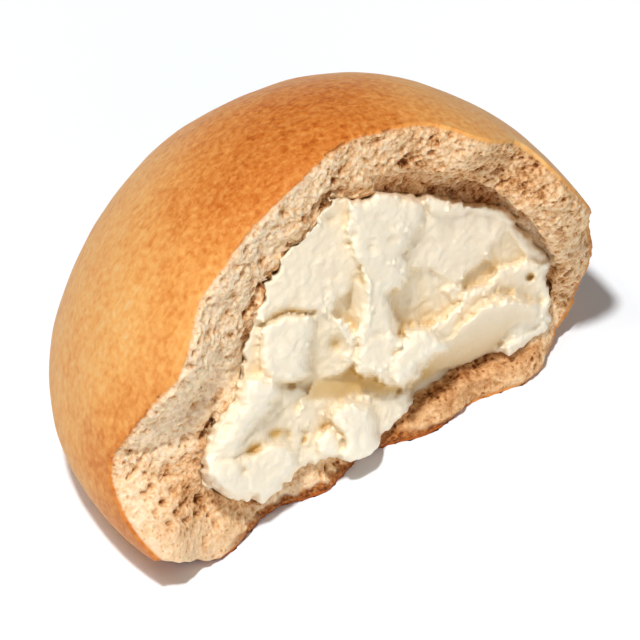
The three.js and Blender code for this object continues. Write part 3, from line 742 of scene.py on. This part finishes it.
# The solid's form, with its bed drawn onto the filling and more points on the torn side than elsewhere.
def breadForm():
    mesh = remeshed(asMesh(workCopy("bread"), "bread"), bread["voxel"])
    places = points(mesh)

    # On the right the bottom layer is torn off a little further out than the rest.
    x, y, z = places.T
    lip = smoothStep(x, 4, 12) * (1 - smoothStep(x, 21, 26))
    lip *= smoothStep(-z, -6.5, -2)
    lip *= smoothStep(-y, -8, -2)
    places[:, 1] -= bread["lip"] * lip
    places = snapped(places)
    setPoints(mesh, places)
    depth, _ = underSkin(places)

    # The bed and its rim are drawn right onto the filling, except under its toes.
    solid = workCopy("cream_cheese")
    solidTree = BVHTree.FromBMesh(solid)
    solid.free()
    _, v = ontoBoard(places)
    clings = smoothStep(v, -6, -2) * (1 - smoothStep(distanceTo(solidTree, places), 0.5, 2.4))
    for index in np.flatnonzero((clings > 0) & (depth > 0.3)):
        nearest, outward, _, _ = cheeseTree.find_nearest(places[index])
        if outward.dot(Vector(places[index]) - nearest) > 0:
            bed = np.array(nearest - bread["bedGap"] * outward)
            places[index] += (bed - places[index]) * clings[index]
    setPoints(mesh, places)

    # The torn side gets twice the points, out to just past its edge.
    torn = (depth > 0.1) & (distanceTo(cheeseTree, places) > 0.6) & (places[:, 1] < 6)
    bm = bmesh.new()
    bm.from_mesh(mesh)
    bm.verts.ensure_lookup_table()
    for _ in range(2):
        grown = torn.copy()
        for edge in bm.edges:
            a, b = edge.verts[0].index, edge.verts[1].index
            if torn[a] != torn[b]:
                grown[a] = grown[b] = True
        torn = grown
    fine = [edge for edge in bm.edges if torn[edge.verts[0].index] and torn[edge.verts[1].index]]
    bmesh.ops.subdivide_edges(bm, edges=fine, cuts=2, use_grid_fill=True)
    bpy.data.meshes.remove(mesh)
    mesh = asMesh(bm, "bread")
    places = points(mesh)
    mesh = thinned(mesh, (underSkin(places)[0] > 1.5) & (places[:, 1] > 2.4), bread["bedShare"])
    places = points(mesh)
    mesh = closed(thinned(mesh, (underSkin(places)[0] < 0.4) & (places[:, 1] > 7), bread["backShare"]))
    setPoints(mesh, snapped(points(mesh)))
    return mesh


def buildBread():
    mesh = breadForm()
    places = points(mesh)
    facing = normals(mesh)
    depth, outward = underSkin(places)
    inside = smoothStep(depth, 0.15, 0.9)
    toCheese = distanceTo(cheeseTree, places)
    openAir = smoothStep(toCheese, 0.05, 0.6) * smoothStep(-places[:, 1], -9, -6)

    # Crumb: lumps torn up and down, gas holes of several sizes, and short ridges of stretched dough between.
    drift = np.stack([bumps(places, 1.3, shift) for shift in (21.0, 22.0, 23.0)], -1)
    swirled = places + 0.45 * drift
    broad = bread["lumps"] * bumps(places, 4.5, 2.0) + bread["swells"] * bumps(places, 2.1, 5.0)
    small = bread["folds"] * (1 - 3 * np.abs(bumps(swirled, 1.5, 6.0)))
    small += bread["threads"] * (1 - 3 * np.abs(bumps(swirled, 0.75, 8.0)))
    small += bread["grain"] * bumps(places, 0.4, 3.0)
    for number, (size, deep, share) in enumerate(bread["holes"]):
        small -= deep * hollows(swirled, size, 1.5 + 7 * number, share)
    u, v = ontoBoard(places)
    toe = 1 - 0.5 * smoothStep(v, -10, -7.5) - 0.5 * smoothStep(v, -5, -1)
    calm = nearLine(u, v, bread["calmLine"], 2.4)
    lively = nearLine(u, v, bread["livelyLine"], 1.8)
    small *= (1 - np.maximum(0.65 * toe, 0.6 * calm)) * (1 + 0.3 * lively)
    raised = inside * openAir * (bread["rise"] + broad + small)
    raised -= 0.5 * inside * np.exp(-(toCheese / 1.1) ** 2) * smoothStep(v, -3, 1) * openAir
    rightRim = nearLine(u, v, bread["rightRim"], 1.8)
    raised += bread["rimRise"] * rightRim * inside * smoothStep(places[:, 1], -1.2, 0.6) * openAir
    crack = np.zeros(len(places))
    wander = 0.25 * bumps(places, 0.9, 12.0)
    broken = smoothStep(bumps(places, 1.6, 17.0), -0.35, 0.1)
    for width, deep, line in crumbCracks:
        crack = np.maximum(crack, deep * nearLine(u, v, line, width, wander))
    crack *= inside * (facing[:, 1] < 0.3) * broken
    for pitU, pitV, radius, deep in crumbPits:
        crack += deep * inside * nearSpot(u, v, pitU, pitV, radius)
    raised -= crack
    crust = 1 - smoothStep(depth, 0.0, 0.5)
    broadDents, smallDents = bread["dents"]
    dents = broadDents * bumps(places, 9, 1.0) + smallDents * bumps(places, 3, 4.0)
    standing = smoothStep(places[:, 2], 0.0, 3.0)
    raised += crust * standing * dents

    # How far each point of the crust is from the tear; there the edge is ragged.
    edge = KDTree(len(places))
    for index in np.flatnonzero((depth > 0.5) & (openAir > 0.5)):
        edge.insert(places[index], index)
    edge.balance()
    fromTear = np.array([edge.find(p)[2] for p in places.tolist()])
    ragged = np.exp(-((fromTear + np.maximum(depth, 0)) / 0.8) ** 2)
    places = places + facing * raised[:, None]
    places[:, 1] += ragged * (0.3 * bumps(places, 1.7, 31.0) + 0.2 * bumps(places, 0.7, 32.0))

    # The left toe of the torn side is broken off square.
    u, v = ontoBoard(places)
    square = bread["toeEnd"] + 0.3 * bumps(places, 1.5, 51.0)
    cut = np.maximum(square - v, 0) * smoothStep(u, -21, -18.5) * smoothStep(-u, 10.5, 12.5)
    places[:, 1] += 1.08 * cut
    places[:, 0] += 0.91 * cut
    places[:, 2] = np.maximum(places[:, 2], 0)
    setPoints(mesh, places)

    # Tones: toast runs from pale to dark over the crust; over the crumb a second tone runs from pale to dark,
    # partly a browner crumb and partly painted shade in its pits, cracks, recesses and under the filling.
    x, y, z = places.T
    height = z / bun["height"]
    lowHalf = 1 - smoothStep(height, 0.5, 0.8)
    toast = 0.24 + 0.56 * smoothStep(height, 0.6, 1.06) * (1 - 0.85 * smoothStep(x, 2, 16))
    toast += 0.3 * lowHalf * np.exp(-((fromTear - 2.0) / 3.2) ** 2) * smoothStep(-x, -14, 2)
    toast += (0.36 * lowHalf - 0.15) * np.exp(-(fromTear / 0.8) ** 2) + 0.12 * smoothStep(-z, -16, -6)
    toast += 0.5 * smoothStep(-z, -2.0, -0.3) * (1 - 0.9 * smoothStep(x, 8, 16))
    # The crumb is painted browner in its low places, cracks and pits, partly as painted shade, and as painted
    # shade in the recesses behind the tear and next to the filling.
    recessShade = smoothStep(y, -0.3, 1.6) + 0.6 * smoothStep(-toCheese, -2.5, -0.3)
    side = 0.5 + 0.5 * smoothStep(x, -6, 16)
    brownAndShade = -(small + 0.1) / 0.38 * inside + 1.2 * crack + 0.4 * recessShade * side * (1 - rightRim)
    brownAndShade += 0.25 * bumps(places, 3.2, 41.0)
    brownAndShade -= 0.3 * toe + 0.15 * rightRim
    for width, tone, line in crumbBrownAndShade:
        brownAndShade += tone * nearLine(u, v, line, width)
    setAttribute(mesh, "skin", underSkin(places)[0])
    setAttribute(mesh, "toast", toast)
    setAttribute(mesh, "brownAndShade", np.clip(0.3 + 0.5 * brownAndShade, 0, 1.6))
    thick = 1.6 - 1.45 * smoothStep(x, 4, 15)
    dark = smoothStep(-(z + 0.5 * bumps(places, 1.4, 43.0)), -thick, 0.5 - thick) * smoothStep(u, -12.5, -10)
    setAttribute(mesh, "heel", dark)
    setAttribute(mesh, "specks", 1.45 * (1 - 0.5 * np.maximum(toe, calm)))

    # A place on the crust, drawn out along the lines from crown to foot, for its streaks.
    around = np.hypot(x, y)
    wide = bun["radius"] / np.maximum(around, 18)
    drawn = np.stack([x * wide, y * wide, 0.8 * np.hypot(around, bun["height"] - z)], -1)
    streak = mesh.attributes.new("streak", "FLOAT_VECTOR", "POINT")
    streak.data.foreach_set("vector", drawn.astype(np.float32).ravel())
    return mesh


# Bread: bagel dough, kneaded, proved and baked. The crust is a thin satin skin, streaked and browned most at
# the crown; inside is a dull, torn crumb whose gas holes, cracks and recesses are painted brown, partly as
# painted shade, and a dark heel where it lay on the tray.
breadMaterial, tree, shader = newMaterial("baked bagel dough")
where = addNode(tree, "ShaderNodeTexCoord").outputs["Object"]
skin, toast, brownAndShade, heel, specks = (
    addNode(tree, "ShaderNodeAttribute", attribute_name=name).outputs["Fac"]
    for name in ("skin", "toast", "brownAndShade", "heel", "specks"))
streak = addNode(tree, "ShaderNodeAttribute", attribute_name="streak").outputs["Vector"]
patches = addNode(tree, "ShaderNodeTexNoise", {"Vector": where, "Scale": 1 / (7 * mm), "Detail": 2.0})
streaks = addNode(tree, "ShaderNodeTexNoise", {"Vector": streak, "Scale": 1 / 1.2, "Detail": 2.0,
                                               "Roughness": 0.5, "Distortion": 0.8})
flecks = addNode(tree, "ShaderNodeTexNoise", {"Vector": where, "Scale": 1 / (0.65 * mm), "Detail": 2.0})
baked = addNode(tree, "ShaderNodeMath", {0: patches.outputs["Fac"], 1: 0.3, 2: toast},
                operation="MULTIPLY_ADD")
baked = addNode(tree, "ShaderNodeMath", {0: streaks.outputs["Fac"], 1: 0.65, 2: baked.outputs[0]},
                operation="MULTIPLY_ADD")
baked = addNode(tree, "ShaderNodeMath", {0: flecks.outputs["Fac"], 1: 0.7, 2: baked.outputs[0]},
                operation="MULTIPLY_ADD")
baked = addNode(tree, "ShaderNodeMath", {0: baked.outputs[0], 1: 0.8}, operation="SUBTRACT")
crustColour = addNode(tree, "ShaderNodeValToRGB", {"Fac": baked.outputs[0]}, stops=[
    (0.0, "#e8bd80"), (0.22, "#eaad62"), (0.45, "#e39b50"),
    (0.7, "#d38037"), (0.9, "#c26823"), (1.0, "#af5718")])
speckle = addNode(tree, "ShaderNodeTexNoise", {"Vector": where, "Scale": 1 / (0.42 * mm), "Detail": 3.0,
                                               "Roughness": 0.6})
speck = addNode(tree, "ShaderNodeMath", {0: speckle.outputs["Fac"], 1: 0.48}, operation="SUBTRACT")
pitted = addNode(tree, "ShaderNodeMath", {0: speck.outputs[0], 1: specks, 2: brownAndShade}, operation="MULTIPLY_ADD")
# Small pores too fine for the mesh are painted as darker spots, partly as painted shade in them.
stirred = addNode(tree, "ShaderNodeTexNoise", {"Vector": where, "Scale": 1 / (0.9 * mm), "Detail": 1.0})
moved = addNode(tree, "ShaderNodeVectorMath", {0: stirred.outputs["Color"], 1: (0.5 * mm,) * 3, 2: where},
                operation="MULTIPLY_ADD")
pores = addNode(tree, "ShaderNodeTexVoronoi", {"Vector": moved.outputs[0], "Scale": 1 / (0.55 * mm)})
lot = addNode(tree, "ShaderNodeSeparateColor", {"Color": pores.outputs["Color"]})
poreSize = addNode(tree, "ShaderNodeMapRange", {"Value": lot.outputs[0], "To Min": -0.05, "To Max": 0.5})
poreShade = addNode(tree, "ShaderNodeMath", {0: poreSize.outputs[0], 1: pores.outputs["Distance"]},
                    operation="SUBTRACT")
poreShade = addNode(tree, "ShaderNodeMapRange", {"Value": poreShade.outputs[0], "From Min": 0.0,
                                                 "From Max": 0.25, "To Max": 0.3})
pitted = addNode(tree, "ShaderNodeMath", {0: pitted.outputs[0], 1: poreShade.outputs[0]}, operation="ADD")
crumbColour = addNode(tree, "ShaderNodeValToRGB", {"Fac": pitted.outputs[0]}, stops=[
    (0.0, "#f6dcba"), (0.3, "#e9c499"), (0.5, "#daab7a"),
    (0.7, "#be8856"), (0.88, "#9a6031"), (1.0, "#6e3c1a")])
heelColour = addNode(tree, "ShaderNodeValToRGB", {"Fac": speckle.outputs["Fac"]}, stops=[
    (0.3, "#54260d"), (0.44, "#87491d"), (0.58, "#b06d37"), (0.72, "#cd945a")])
torn = addNode(tree, "ShaderNodeMix", {"Factor": heel, "A": crumbColour.outputs["Color"],
                                       "B": heelColour.outputs["Color"]}, data_type="RGBA")
within = addNode(tree, "ShaderNodeMapRange", {"Value": skin, "From Min": 0.2, "From Max": 0.45})
both = addNode(tree, "ShaderNodeMix", {"Factor": within.outputs[0], "A": crustColour.outputs["Color"],
                                       "B": torn.outputs[2]}, data_type="RGBA")
tree.links.new(both.outputs[2], shader.inputs["Base Color"])
rough = addNode(tree, "ShaderNodeMapRange", {"Value": skin, "From Min": 0.2, "From Max": 0.5, "To Min": 0.5,
                                             "To Max": 0.9})
tree.links.new(rough.outputs[0], shader.inputs["Roughness"])
shader.inputs["IOR"].default_value = 1.34
shader.inputs["Specular IOR Level"].default_value = 0.3
soft = addNode(tree, "ShaderNodeMapRange", {"Value": skin, "From Min": 0.2, "From Max": 0.5, "To Min": 0.12,
                                            "To Max": 0.4})
tree.links.new(soft.outputs[0], shader.inputs["Subsurface Weight"])
shader.inputs["Subsurface Radius"].default_value = (1.0, 0.6, 0.3)
shader.inputs["Subsurface Scale"].default_value = 0.8 * mm
relief = addNode(tree, "ShaderNodeMix", {"Factor": within.outputs[0], "A": flecks.outputs["Fac"],
                                         "B": speckle.outputs["Fac"]}, data_type="FLOAT")
bump = addNode(tree, "ShaderNodeBump", {"Height": relief.outputs[0], "Strength": 0.6, "Distance": 0.22 * mm})
tree.links.new(bump.outputs[0], shader.inputs["Normal"])

breadMesh = buildBread()
print("bread:", len(breadMesh.polygons), "faces")

breadPiece = finishPiece(breadMesh, "bread_half", breadMaterial)
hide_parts("bread")
cheesePiece = finishPiece(cheeseMesh, "cream_cheese_filling", cheeseMaterial)
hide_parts("cream_cheese")
